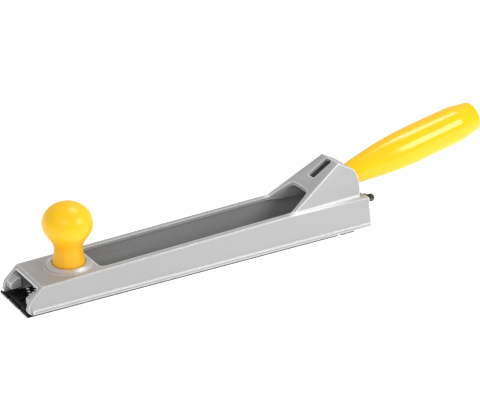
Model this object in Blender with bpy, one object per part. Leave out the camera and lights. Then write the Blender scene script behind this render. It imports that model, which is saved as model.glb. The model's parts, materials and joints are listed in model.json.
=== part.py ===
"""Perforated-blade rasp plane: cast body, stretched blade, ball knob in front and a
tapered handle that clamps on a round seat at the back.

Metres, +Z up. The origin is the middle of the blade's underside. +X points to the
handle, so the nose is at -X. Screw threads are left plain.
"""

import math

import bmesh
import bpy
from mathutils import Matrix, Vector

# ---------------------------------------------------------------- driving dimensions

GAP = 0.0003                    # between neighbours that touch on the real tool
SLIDE_GAP = 0.0005              # beside a piece that slides
SCREW_GAP = 0.0003              # round a screw in its hole

# Blade
BLADE_LENGTH = 0.252
BLADE_WIDTH = 0.043
BLADE_THICKNESS = 0.0009
BLADE_LIP_HEIGHT = 0.0021       # the front edge, turned up
BLADE_LIP_THICKNESS = 0.0010
NOTCH_WIDTH = 0.0026            # in the front edge
NOTCH_DEPTH = 0.0020
HOOK_SPACING = 0.018            # between the two front hooks
HOOK_WIDTH = 0.004
HOOK_THICKNESS = 0.0015
HOOK_SETBACK = 0.0030           # front edge of the blade to the front windows
REAR_WINDOW_WIDTH = 0.020
REAR_WINDOW_SETBACK = 0.0035    # rear edge of the blade to its rear window
CLAMP_TRAVEL = 0.003            # of the rear clamp, from tight to loose

# Cast body
BODY_MARGIN = 0.0005            # body edge outside the blade's edge
BLADE_OVERHANG = 0.001          # blade's front edge ahead of the nose
TAIL_ROOM = 0.0310              # rear edge of the blade to the tail of the body
WALL = 0.0033
DECK_THICKNESS = 0.0022
BEAD_HEIGHT = 0.0028            # strip along the foot of each side
BEAD_PROUD = 0.0007
SIDE_DRAFT = 0.020              # inward lean of the sides, per unit of height
NOSE_HEIGHT = 0.0195            # deck height, carried forward to the nose
LEDGE_HEIGHT = 0.0257           # deck height at the foot of the slope
TAIL_HEIGHT = 0.0246
TAIL_LEAN = 0.0028
CHEEK_TOP_SETBACK = 0.0116      # nose to the front edge of the deck
CHEEK_MID_SETBACK = 0.0016
CHEEK_MID_HEIGHT = 0.0101
CHEEK_ROUND = 0.0032
EDGE_ROUND = 0.0008
CAST_ROUND = 0.0017             # inside the channel

# Trough opening
TROUGH_FRONT = 0.058            # from the nose
TROUGH_WIDTH = 0.0322
TROUGH_CORNER = 0.005
TROUGH_CLIMB = 0.0182           # how far it climbs the slope, along X
TROUGH_TOP_WIDTH = 0.0218

# Pedestal of the handle
SLOPE_FOOT = 0.0684             # from the tail, along X
APEX_SETBACK = 0.0246           # from the tail
APEX_HEIGHT = 0.0531
PEDESTAL_FOOT_WIDTH = 0.0324
PEDESTAL_TOP_WIDTH = 0.0218
PEDESTAL_FRONT = 0.0125         # slope foot to the front of the pedestal's sides
SEAT_RADIUS = 0.0236
PIVOT_SETBACK = 0.0310          # from the tail
PIVOT_HEIGHT = 0.0322
SEAT_TOP_ANGLE = 36             # degrees above the horizontal
SEAT_LOW_ANGLE = -16
SIGHT_SLOT_LENGTH = 0.0190      # slot in the slope, above the handle's bolt
SIGHT_SLOT_WIDTH = 0.0078
SIGHT_SLOT_CORNER = 0.0020
SIGHT_SLOT_MARGIN = 0.0010      # from its upper end to the apex, along the slope

# Handle
HANDLE_ANGLE = 11.6             # degrees above the horizontal, as set here
HANDLE_DOWN = 5                 # degrees it can be set lower
HANDLE_UP = 8                   # degrees it can be set higher
HANDLE_LENGTH = 0.117
HANDLE_SEAT_RADIUS = 0.0085
HANDLE_SEAT_SLOPE = 0.17        # growth of the radius along the handle, at the seat
HANDLE_RADIUS = 0.0144
HANDLE_SWELL = 0.060            # seat to full thickness
HANDLE_BARREL_LOSS = 0.0002     # radius lost from there to the cone
HANDLE_END_TAPER = 0.0167       # length of the cone at the end
HANDLE_END_RADIUS = 0.0119
HANDLE_END_ROUND = 0.0028
HANDLE_BOLT_RADIUS = 0.003
HANDLE_BOLT_DEPTH = 0.024       # seat to the bolt's tip
HANDLE_HEAD_RADIUS = 0.005
HANDLE_HEAD_HEIGHT = 0.0042
HANDLE_INSERT_RADIUS = 0.0046
SADDLE_THICKNESS = 0.0030
SADDLE_WIDTH = 0.0130
WASHER_THICKNESS = 0.0014
LOCK_WASHER_THICKNESS = 0.0015
LOCK_WASHER_CUT = 0.0009
HANDLE_WASHER_RADIUS = 0.0058

# Front knob
KNOB_SETBACK = 0.0415           # nose to the knob's axis
BOSS_FOOT_RADIUS = 0.0166
BOSS_TOP_RADIUS = 0.0136
BOSS_HEIGHT = 0.0023
BOSS_CUP_RADIUS = 0.0120
BOSS_CUP_DEPTH = 0.0015
KNOB_PAD_RADIUS = 0.009         # thick place under the deck
KNOB_PAD_DEPTH = 0.0026
KNOB_BASE_RADIUS = 0.0115
KNOB_NECK_RADIUS = 0.0101
KNOB_NECK_RISE = 0.0115         # base to neck
KNOB_BALL_RADIUS = 0.0178
KNOB_BALL_HALF_HEIGHT = 0.0151
KNOB_BALL_RISE = 0.0304         # base to the middle of the ball
KNOB_BALL_LOWEST = -33          # degrees: where the ball turns into the neck
KNOB_BASE_SLOPE = -0.146        # change of the radius with height, at the base
KNOB_INSERT_RADIUS = 0.0045
KNOB_INSERT_LENGTH = 0.018
KNOB_SCREW_RADIUS = 0.003
KNOB_SCREW_REACH = 0.016        # above the knob's base
KNOB_HEAD_RADIUS = 0.0052
KNOB_HEAD_HEIGHT = 0.0038
KNOB_WASHER_RADIUS = 0.007

# Front hook plate and its screws
LUG_REACH = 0.0060              # lug inward from the channel's wall
LUG_START = 0.0030              # from the nose
LUG_LOW = 0.0060
LUG_LENGTH = 0.0075
LUG_RAMP = 0.0053               # length of its slanted front
LUG_FRONT_HEIGHT = 0.0098
LUG_REAR_HEIGHT = 0.0135
HOOK_PLATE_START = 0.0010       # from the nose
HOOK_PLATE_LENGTH = 0.0080
HOOK_PLATE_THICKNESS = 0.0012
HOOK_PLATE_GAP = 0.0030         # between its two halves, behind the bar that joins them
HOOK_PLATE_BAR = 0.0022
HOOK_POST = 0.0044              # square posts of the plate, up to the lugs
HOOK_SCREW_RADIUS = 0.0012
HOOK_SCREW_HEAD_RADIUS = 0.0021
HOOK_SCREW_HEAD_HEIGHT = 0.0008
HOOK_SCREW_LENGTH = 0.0092

# Rear clamp and its screw
TENSION_HEIGHT = 0.0128         # axis of the tension screw
TENSION_RADIUS = 0.0025
TENSION_GROOVE = 0.0005         # depth of the clip's groove and of the tip's chamfer
THREAD_CORE = 0.0017            # radius of the rod's end inside the thumb screw
CLAMP_PLATE_THICKNESS = 0.0020
CLAMP_WING_THICKNESS = 0.0030
CLAMP_BLOCK_LENGTH = 0.0075
CLAMP_BLOCK_SETBACK = 0.0225    # tail to the rear of the block
CLAMP_BLOCK_RISE = 0.0060       # above the screw's axis
CLAMP_BLOCK_WIDTH = 0.020
CLAMP_FOOT_LENGTH = 0.0115      # behind the blade's rear edge
NUT_WIDTH = 0.008
NUT_THICKNESS = 0.004
TAIL_BOSS_RADIUS = 0.0066
TAIL_BOSS_REACH = 0.0004        # outside the tail's foot
TAIL_BOSS_LENGTH = 0.0064
TAIL_WASHER_RADIUS = 0.0062
TAIL_WASHER_THICKNESS = 0.0010
THUMB_RADIUS = 0.0030
THUMB_NECK_RADIUS = 0.0034
THUMB_NECK_LENGTH = 0.0058
THUMB_COLLAR_RADIUS = 0.0043
THUMB_COLLAR_LENGTH = 0.0013
THUMB_LENGTH = 0.0067           # knurled length
THUMB_CHAMFER = 0.0004
THUMB_SLOT_WIDTH = 0.0013
THUMB_SLOT_DEPTH = 0.0016
CLIP_RADIUS = 0.0050
CLIP_THICKNESS = 0.0009
CLIP_MOUTH = 0.0030

RIM_STEPS = 3                   # faces across a rounded rim
HEAD_DOME = 0.4                 # share of a screw head's height that is domed
HEAD_FACE = 0.72                # radius of its flat face, as a share of the head's
FINE = 48                       # sides of the large round pieces
ROUND = 28                      # sides of the small round pieces
OVER = 0.002                    # how far a cutter runs past what it cuts

# ---------------------------------------------------------------- worked-out sizes

BLADE_FRONT = -BLADE_LENGTH / 2
BLADE_REAR = BLADE_LENGTH / 2
NOSE = BLADE_FRONT + BLADE_OVERHANG
TAIL = BLADE_REAR + TAIL_ROOM
HALF_BODY = BLADE_WIDTH / 2 + BODY_MARGIN
FOOT = BLADE_THICKNESS + GAP    # underside of the body's walls
HALF_SIDE = HALF_BODY - BEAD_PROUD
HALF_CHANNEL = HALF_SIDE - WALL
SLOPE_START = TAIL - SLOPE_FOOT
APEX = TAIL - APEX_SETBACK
PIVOT = TAIL - PIVOT_SETBACK
DECK_RISE = (LEDGE_HEIGHT - NOSE_HEIGHT) / (SLOPE_START - NOSE)
SLOPE_RISE = (APEX_HEIGHT - LEDGE_HEIGHT) / (APEX - SLOPE_START)
SLOPE_ANGLE = math.atan(SLOPE_RISE)
KNOB_X = NOSE + KNOB_SETBACK


def deck_height(x):
    """Top of the deck at x."""
    return NOSE_HEIGHT + DECK_RISE * (x - NOSE)


def side(z):
    """Half width of the body's outside at height z."""
    return HALF_SIDE - SIDE_DRAFT * (z - FOOT)


# ---------------------------------------------------------------- making things


def finish(name, mesh, colour, rough, metal=0.0, smooth_angle=35, parent=None):
    """An object with its own material; its mesh is smooth but for real edges."""
    mesh.shade_smooth()
    mesh.set_sharp_from_angle(angle=math.radians(smooth_angle))
    piece = bpy.data.objects.new(name, mesh)
    bpy.context.scene.collection.objects.link(piece)
    material = bpy.data.materials.new(name)
    material.use_nodes = True
    shader = material.node_tree.nodes["Principled BSDF"]
    shader.inputs["Base Color"].default_value = (*colour, 1)
    shader.inputs["Roughness"].default_value = rough
    shader.inputs["Metallic"].default_value = metal
    mesh.materials.append(material)
    piece.parent = parent
    return piece


def to_mesh(name, shape):
    bmesh.ops.recalc_face_normals(shape, faces=shape.faces)
    mesh = bpy.data.meshes.new(name)
    shape.to_mesh(mesh)
    shape.free()
    return mesh


def helper(name, mesh, parent=None):
    """A shape that only a Boolean uses."""
    tool = bpy.data.objects.new(name, mesh)
    bpy.context.scene.collection.objects.link(tool)
    tool.hide_render = True
    tool.display_type = "WIRE"
    tool.parent = parent
    return tool


def combine(piece, operation, mesh, label):
    """Joins or cuts the piece with another mesh."""
    tool = helper(f"{piece.name}_{label}", mesh, piece.parent)
    modifier = piece.modifiers.new(label, "BOOLEAN")
    modifier.operation = operation
    modifier.solver = "EXACT"
    modifier.object = tool


def cut(piece, mesh, label):
    combine(piece, "DIFFERENCE", mesh, label)


def join(piece, mesh, label):
    combine(piece, "UNION", mesh, label)


def box(low, high):
    shape = bmesh.new()
    size = [b - a for a, b in zip(low, high)]
    middle = [(a + b) / 2 for a, b in zip(low, high)]
    place = Matrix.Translation(middle) @ Matrix.Diagonal((*size, 1))
    bmesh.ops.create_cube(shape, size=1, matrix=place)
    return to_mesh("box", shape)


def crossing(first, second):
    """Where two lines meet in the side view, each given as a point and a direction."""
    (p, d), (q, e) = first, second
    across = d[0] * e[1] - d[1] * e[0]
    t = ((q[0] - p[0]) * e[1] - (q[1] - p[1]) * e[0]) / across
    return (p[0] + t * d[0], p[1] + t * d[1])


def inset(outline, depth, above):
    """The outline with the edges that lie above a height moved inwards."""
    count = len(outline)
    pairs = [(outline[i], outline[(i + 1) % count]) for i in range(count)]
    turning = sum(a[0] * b[1] - b[0] * a[1] for a, b in pairs)
    inwards = math.copysign(depth, turning)
    lines = []
    for a, b in pairs:
        way = (b[0] - a[0], b[1] - a[1])
        share = inwards / math.hypot(*way) if min(a[1], b[1]) > above else 0.0
        lines.append(((a[0] - way[1] * share, a[1] + way[0] * share), way))
    return [crossing(lines[i - 1], lines[i]) for i in range(count)]


def slab(outline, half_width, rounding=0.0, above=0.0):
    """The (x, z) outline between two walls, whose half width may depend on z.

    The rims of the edges that lie above a height can be rounded.
    """
    width = half_width if callable(half_width) else lambda z: half_width
    steps = RIM_STEPS if rounding else 0
    rows = []
    for i in range(steps + 1):
        angle = math.pi / 2 * i / steps if steps else math.pi / 2
        line = inset(outline, rounding * (1 - math.cos(angle)), above) if i else outline
        rows.append([(x, width(z) - rounding * (1 - math.sin(angle)), z) for x, z in line])
    shape = bmesh.new()
    right = [[shape.verts.new(place) for place in row] for row in rows]
    left = [[shape.verts.new((x, -y, z)) for x, y, z in row] for row in rows]
    bands = [*left[::-1], *right]
    for near, far in zip(bands, bands[1:]):
        for i in range(len(outline)):
            j = (i + 1) % len(outline)
            shape.faces.new((near[i], far[i], far[j], near[j]))
    shape.faces.new(bands[0])
    shape.faces.new(bands[-1][::-1])
    return to_mesh("slab", shape)


def post(outline, low, high, turn=None):
    """The (x, y) outline pulled up from low to high, then turned or moved."""
    shape = bmesh.new()
    bottom = [shape.verts.new((x, y, low)) for x, y in outline]
    face = shape.faces.new(bottom)
    grown = bmesh.ops.extrude_face_region(shape, geom=[face])
    top = [v for v in grown["geom"] if isinstance(v, bmesh.types.BMVert)]
    bmesh.ops.translate(shape, verts=top, vec=(0, 0, high - low))
    if turn:
        bmesh.ops.transform(shape, matrix=turn, verts=shape.verts)
    return to_mesh("post", shape)


def turned(profile, place=Matrix(), sides=ROUND):
    """A lathe shape: (radius, height) points about Z, then placed."""
    shape = bmesh.new()
    rings = []
    for radius, height in profile:
        if radius < 1e-7:
            rings.append([shape.verts.new((0, 0, height))])
            continue
        steps = [2 * math.pi * i / sides for i in range(sides)]
        rings.append([shape.verts.new((radius * math.cos(a), radius * math.sin(a), height)) for a in steps])
    for lower, upper in zip(rings, rings[1:]):
        if len(lower) == len(upper) == 1:
            continue
        for i in range(sides):
            j = (i + 1) % sides
            below = [lower[i % len(lower)], lower[j % len(lower)]]
            above = [upper[j % len(upper)], upper[i % len(upper)]]
            shape.faces.new(list(dict.fromkeys(below + above)))
    for ring in (rings[0], rings[-1]):
        if len(ring) > 1 and profile[0] != profile[-1]:
            shape.faces.new(ring)
    bmesh.ops.remove_doubles(shape, verts=shape.verts, dist=1e-6)
    bmesh.ops.transform(shape, matrix=place, verts=shape.verts)
    return to_mesh("turned", shape)


def rod(radius, low, high, place=Matrix(), sides=ROUND):
    return turned([(radius, low), (radius, high)], place, sides)


def ring(inner, outer, low, high, place=Matrix(), sides=ROUND):
    corners = [(inner, low), (outer, low), (outer, high), (inner, high), (inner, low)]
    return turned(corners, place, sides)


def along_x(x, y, z):
    """Turns a lathe shape's axis to +X, from this point."""
    return Matrix.Translation((x, y, z)) @ Matrix.Rotation(math.pi / 2, 4, "Y")


def upright(x, y, z=0.0):
    return Matrix.Translation((x, y, z))


def arc(middle, radius, start, end, steps):
    """Points of an arc, in degrees."""
    found = []
    for i in range(steps + 1):
        angle = math.radians(start + (end - start) * i / steps)
        found.append((middle[0] + radius * math.cos(angle), middle[1] + radius * math.sin(angle)))
    return found


def rounded_outline(corners, radius, steps=5):
    """A closed outline with each corner replaced by an arc-like curve."""
    points = []
    count = len(corners)
    for i in range(count):
        here = Vector(corners[i])
        before = (Vector(corners[i - 1]) - here).normalized() * radius
        after = (Vector(corners[(i + 1) % count]) - here).normalized() * radius
        for k in range(steps + 1):
            t = k / steps
            points.append(tuple(here + before * (1 - t) ** 2 + after * t**2))
    return points


def ease(start, end, steps):
    """A cubic between two (height, radius, slope) stations, without the first point."""
    (h0, r0, m0), (h1, r1, m1) = start, end
    span = h1 - h0
    found = []
    for i in range(1, steps + 1):
        u = i / steps
        a, b = 2 * u**3 - 3 * u**2 + 1, u**3 - 2 * u**2 + u
        c, d = 3 * u**2 - 2 * u**3, u**3 - u**2
        found.append((a * r0 + b * span * m0 + c * r1 + d * span * m1, h0 + span * u))
    return found


# ---------------------------------------------------------------- colours

SILVER = (0.56, 0.56, 0.56)
YELLOW = (0.95, 0.56, 0.01)
BLACK = (0.012, 0.012, 0.013)
STEEL = (0.55, 0.55, 0.56)
DARK_STEEL = (0.08, 0.08, 0.085)
BRASS = (0.75, 0.55, 0.25)

# ---------------------------------------------------------------- cast body


def body_outline():
    """Side view of the body without its pedestal."""
    round_middle = (NOSE + CHEEK_ROUND, FOOT + CHEEK_ROUND)
    nose_round = arc(round_middle, CHEEK_ROUND, 270, 180, 5)
    return [
        *nose_round,
        (NOSE + CHEEK_MID_SETBACK, CHEEK_MID_HEIGHT),
        (NOSE + CHEEK_TOP_SETBACK, deck_height(NOSE + CHEEK_TOP_SETBACK)),
        (SLOPE_START + OVER, deck_height(SLOPE_START + OVER)),
        (TAIL - TAIL_LEAN, TAIL_HEIGHT),
        (TAIL, FOOT),
    ]


def pedestal_line(wall):
    """Slope, top and round seat of the pedestal in the side view, this far under its skin.

    The slope's wall is no thicker than the deck.
    """
    seat = arc((PIVOT, PIVOT_HEIGHT), SEAT_RADIUS - wall, SEAT_TOP_ANGLE, SEAT_LOW_ANGLE, 14)
    slope_way = (math.cos(SLOPE_ANGLE), math.sin(SLOPE_ANGLE))
    slope_wall = min(wall, DECK_THICKNESS)
    slope_at = (APEX + slope_wall * slope_way[1], APEX_HEIGHT - slope_wall * slope_way[0])
    outer_seat = arc((PIVOT, PIVOT_HEIGHT), SEAT_RADIUS, SEAT_TOP_ANGLE, SEAT_TOP_ANGLE, 1)[0]
    top_way = Vector((outer_seat[0] - APEX, outer_seat[1] - APEX_HEIGHT)).normalized()
    apex = crossing((slope_at, slope_way), (seat[0], tuple(top_way)))
    below = LEDGE_HEIGHT - DECK_THICKNESS - OVER
    start_x = slope_at[0] + (below - slope_at[1]) / SLOPE_RISE
    end_x, end_z = seat[-1]
    foot_x = end_x + (end_z - below) * math.tan(math.radians(SEAT_LOW_ANGLE))
    return [(start_x, below), apex, *seat, (foot_x, below)]


def pedestal_side(z, wall=0.0):
    """Half width of the pedestal at height z, this far under its skin."""
    lean = (PEDESTAL_FOOT_WIDTH - PEDESTAL_TOP_WIDTH) / 2 / (APEX_HEIGHT - LEDGE_HEIGHT)
    return PEDESTAL_FOOT_WIDTH / 2 - wall * math.hypot(1, lean) - lean * (z - LEDGE_HEIGHT)


def pedestal():
    """The solid pedestal, whose slope widens to the body's full width at its foot."""
    shape = bmesh.new()
    line = pedestal_line(0.0)
    start_x, below = line[0]
    for x, z in line[1:]:
        for way in (-1, 1):
            shape.verts.new((x, way * pedestal_side(z), z))
    for way in (-1, 1):
        shape.verts.new((start_x, way * (side(below) - EDGE_ROUND / 2), below))
        front = SLOPE_START + PEDESTAL_FRONT
        for z in (LEDGE_HEIGHT, below):
            shape.verts.new((front, way * pedestal_side(z), z))
    hull = bmesh.ops.convex_hull(shape, input=shape.verts)
    loose = [v for v in hull["geom_interior"] if isinstance(v, bmesh.types.BMVert)]
    bmesh.ops.delete(shape, geom=loose, context="VERTS")
    bmesh.ops.dissolve_limit(shape, angle_limit=0.01, verts=shape.verts, edges=shape.edges)
    return to_mesh("pedestal", shape)


def channel_outline():
    """Side view of the hollow that runs under the deck from the open nose to the tail wall."""
    front = NOSE - OVER
    foot = SLOPE_START + OVER
    lean = TAIL_LEAN * (TAIL_HEIGHT - DECK_THICKNESS - FOOT) / (TAIL_HEIGHT - FOOT)
    return [
        (front, FOOT - OVER),
        (front, deck_height(front) - DECK_THICKNESS),
        (foot, deck_height(foot) - DECK_THICKNESS),
        (TAIL - WALL - lean, TAIL_HEIGHT - DECK_THICKNESS),
        (TAIL - WALL, FOOT - OVER),
    ]


def trough():
    """The long opening in the deck, which climbs the foot of the slope and narrows there."""
    front, foot = NOSE + TROUGH_FRONT, SLOPE_START
    half, top = TROUGH_WIDTH / 2, TROUGH_TOP_WIDTH / 2
    rear = foot + TROUGH_CLIMB
    left = [(front, -half), (foot, -half), (rear, -top)]
    corners = left + [(x, -y) for x, y in reversed(left)]
    outline = rounded_outline(corners, TROUGH_CORNER)
    return post(outline, NOSE_HEIGHT - DECK_THICKNESS - OVER, APEX_HEIGHT + OVER)


def sight_slot():
    """A slot with round corners through the slope, just below the apex."""
    half, run = SIGHT_SLOT_WIDTH / 2, SIGHT_SLOT_LENGTH / 2
    corners = [(-run, -half), (run, -half), (run, half), (-run, half)]
    outline = rounded_outline(corners, SIGHT_SLOT_CORNER, 4)
    back = SIGHT_SLOT_LENGTH / 2 + SIGHT_SLOT_MARGIN
    middle = Vector((APEX - back * math.cos(SLOPE_ANGLE), 0, APEX_HEIGHT - back * math.sin(SLOPE_ANGLE)))
    turn = Matrix.Translation(middle) @ Matrix.Rotation(-SLOPE_ANGLE, 4, "Y")
    return post(outline, -WALL - OVER, OVER, turn)


def seat_slot():
    """The slot in the round seat in which the handle's bolt swings."""
    radius = HANDLE_BOLT_RADIUS + SCREW_GAP
    margin = math.degrees(math.asin((radius + GAP) / (SEAT_RADIUS - WALL)))
    low = HANDLE_ANGLE - HANDLE_DOWN - margin
    high = HANDLE_ANGLE + HANDLE_UP + margin
    middle = (PIVOT, PIVOT_HEIGHT)
    inner = arc(middle, SEAT_RADIUS - WALL - OVER, high, low, 6)
    outer = arc(middle, SEAT_RADIUS + OVER, low, high, 6)
    return slab(inner + outer, radius)


def lug(way):
    """A block inside the nose, which carries one end of the hook plate."""
    front = NOSE + LUG_START
    low = LUG_LOW
    outline = [
        (front, low),
        (front, LUG_FRONT_HEIGHT),
        (front + LUG_RAMP, LUG_REAR_HEIGHT),
        (front + LUG_LENGTH, LUG_REAR_HEIGHT),
        (front + LUG_LENGTH, low),
    ]
    half = (LUG_REACH + WALL / 2) / 2
    mesh = slab(outline, half)
    mesh.transform(Matrix.Translation((0, way * (HALF_CHANNEL + WALL / 2 - half), 0)))
    return mesh


def hook_screw_places():
    """Middle of each lug, seen from above."""
    x = NOSE + LUG_START + LUG_LENGTH / 2
    y = HALF_CHANNEL - LUG_REACH / 2
    return {"left": (x, -y), "right": (x, y)}


def boss_top():
    return deck_height(KNOB_X) + BOSS_HEIGHT


def cup_floor():
    return boss_top() - BOSS_CUP_DEPTH


def knob_pad_low():
    """Underside of the thick place that the knob's screw pulls on."""
    return deck_height(KNOB_X) - DECK_THICKNESS - KNOB_PAD_DEPTH


def build_body():
    mesh = slab(body_outline(), side, EDGE_ROUND, FOOT + OVER / 4)
    body = finish("body_casting", mesh, SILVER, 0.4, 0.6, 30)
    bead_low = (NOSE + CHEEK_ROUND + BEAD_PROUD, -HALF_BODY, FOOT)
    join(body, box(bead_low, (TAIL - BEAD_PROUD, HALF_BODY, FOOT + BEAD_HEIGHT)), "bead")
    join(body, pedestal(), "pedestal")
    flare = (BOSS_FOOT_RADIUS - BOSS_TOP_RADIUS) / BOSS_HEIGHT
    buried = (BOSS_FOOT_RADIUS + flare * OVER / 2, deck_height(KNOB_X) - OVER / 2)
    join(body, turned([buried, (BOSS_TOP_RADIUS, boss_top())], upright(KNOB_X, 0), FINE), "knob_boss")

    cut(body, slab(channel_outline(), HALF_CHANNEL, CAST_ROUND, FOOT), "channel")
    hollow = slab(pedestal_line(WALL), lambda z: pedestal_side(z, WALL))
    cut(body, hollow, "pedestal_hollow")

    tail_boss = rod(TAIL_BOSS_RADIUS, 0, TAIL_BOSS_LENGTH, along_x(tail_boss_inner(), 0, TENSION_HEIGHT))
    join(body, tail_boss, "tail_boss")
    pad_high = deck_height(KNOB_X) - DECK_THICKNESS / 2
    join(body, rod(KNOB_PAD_RADIUS, knob_pad_low(), pad_high, upright(KNOB_X, 0)), "knob_pad")
    for way, label in ((-1, "left"), (1, "right")):
        join(body, lug(way), f"lug_{label}")

    cut(body, trough(), "trough")
    cut(body, sight_slot(), "sight_slot")
    cut(body, seat_slot(), "seat_slot")
    cup = rod(BOSS_CUP_RADIUS, cup_floor(), boss_top() + OVER, upright(KNOB_X, 0), FINE)
    cut(body, cup, "knob_cup")
    screw_hole = rod(KNOB_SCREW_RADIUS + SCREW_GAP, knob_pad_low() - OVER, boss_top(), upright(KNOB_X, 0))
    cut(body, screw_hole, "knob_hole")
    hole_start = along_x(tail_boss_inner() - OVER, 0, TENSION_HEIGHT)
    tail_hole = rod(TENSION_RADIUS + SCREW_GAP, 0, TAIL_BOSS_LENGTH + 2 * OVER, hole_start)
    cut(body, tail_hole, "tail_hole")
    for label, (x, y) in hook_screw_places().items():
        top = hook_screw_top() + GAP
        hole = rod(HOOK_SCREW_RADIUS + SCREW_GAP, FOOT - OVER, top, upright(x, y), 16)
        cut(body, hole, f"hook_hole_{label}")
    return body


# ---------------------------------------------------------------- blade


def front_window():
    """x of the front and rear edges of the blade's front windows."""
    front = BLADE_FRONT + HOOK_SETBACK
    return front, front + HOOK_THICKNESS + 2 * GAP


def rear_window():
    """x of the edges of the blade's rear window, long enough for the clamp's travel."""
    rear = BLADE_REAR - REAR_WINDOW_SETBACK
    return rear - HOOK_THICKNESS - 2 * GAP - CLAMP_TRAVEL, rear


def build_blade():
    lip_rear = BLADE_FRONT + BLADE_LIP_THICKNESS
    outline = [
        (BLADE_FRONT, BLADE_THICKNESS / 2),
        (BLADE_FRONT + BLADE_THICKNESS / 2, 0),
        (BLADE_REAR, 0),
        (BLADE_REAR, BLADE_THICKNESS),
        (lip_rear, BLADE_THICKNESS),
        (lip_rear, BLADE_LIP_HEIGHT),
        (BLADE_FRONT, BLADE_LIP_HEIGHT),
    ]
    blade = finish("blade", slab(outline, BLADE_WIDTH / 2), BLACK, 0.35, 0.5)
    low, high = -OVER, BLADE_LIP_HEIGHT + OVER
    for way, label in ((-1, "left"), (1, "right")):
        y = way * HOOK_SPACING / 2
        half = NOTCH_WIDTH / 2
        notch = box((BLADE_FRONT - OVER, y - half, low), (BLADE_FRONT + NOTCH_DEPTH, y + half, high))
        cut(blade, notch, f"notch_{label}")
        front, rear = front_window()
        half = HOOK_WIDTH / 2 + GAP
        cut(blade, box((front, y - half, low), (rear, y + half, high)), f"window_{label}")
    front, rear = rear_window()
    half = REAR_WINDOW_WIDTH / 2
    cut(blade, box((front, -half, low), (rear, half, high)), "rear_window")
    return blade


def hook_screw_top():
    return FOOT + HOOK_SCREW_LENGTH


def build_hook_plate():
    """A steel plate over the blade's front end, with two hooks through its windows."""
    front = NOSE + HOOK_PLATE_START
    half = HALF_CHANNEL - GAP
    low, high = FOOT, FOOT + HOOK_PLATE_THICKNESS
    flat = box((front, -half, low), (front + HOOK_PLATE_LENGTH, half, high))
    plate = finish("front_hook_plate", flat, DARK_STEEL, 0.4, 0.9)
    window, _ = front_window()
    for way, label in ((-1, "left"), (1, "right")):
        y = way * HOOK_SPACING / 2
        start = window + GAP
        hook_low = (start, y - HOOK_WIDTH / 2, GAP)
        hook_high = (start + HOOK_THICKNESS, y + HOOK_WIDTH / 2, low + HOOK_PLATE_THICKNESS / 2)
        join(plate, box(hook_low, hook_high), f"hook_{label}")
    gap_low = (front + HOOK_PLATE_BAR, -HOOK_PLATE_GAP / 2, low - OVER)
    gap_high = (front + HOOK_PLATE_LENGTH + OVER, HOOK_PLATE_GAP / 2, high + OVER)
    cut(plate, box(gap_low, gap_high), "middle_gap")
    for label, (x, y) in hook_screw_places().items():
        post_low = (x - HOOK_POST / 2, y - HOOK_POST / 2, low + HOOK_PLATE_THICKNESS / 2)
        post_high = (x + HOOK_POST / 2, y + HOOK_POST / 2, LUG_LOW - GAP)
        join(plate, box(post_low, post_high), f"post_{label}")
        sink_top = low + HOOK_SCREW_HEAD_HEIGHT
        hole = [
            (HOOK_SCREW_HEAD_RADIUS + SCREW_GAP, low - OVER),
            (HOOK_SCREW_HEAD_RADIUS + SCREW_GAP, sink_top),
            (HOOK_SCREW_RADIUS + SCREW_GAP, sink_top),
            (HOOK_SCREW_RADIUS + SCREW_GAP, LUG_LOW + OVER),
        ]
        cut(plate, turned(hole, upright(x, y), 16), f"hole_{label}")
        head = low + HOOK_SCREW_HEAD_HEIGHT - SCREW_GAP
        shape = [
            (HOOK_SCREW_HEAD_RADIUS, low),
            (HOOK_SCREW_HEAD_RADIUS, head),
            (HOOK_SCREW_RADIUS, head),
            (HOOK_SCREW_RADIUS, hook_screw_top()),
        ]
        finish(f"hook_plate_screw_{label}", turned(shape, upright(x, y), 16), STEEL, 0.3, 1.0)


# ---------------------------------------------------------------- rear clamp


def tail_boss_inner():
    return TAIL + TAIL_BOSS_REACH - TAIL_BOSS_LENGTH


def tail_boss_outer():
    return TAIL + TAIL_BOSS_REACH


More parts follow.
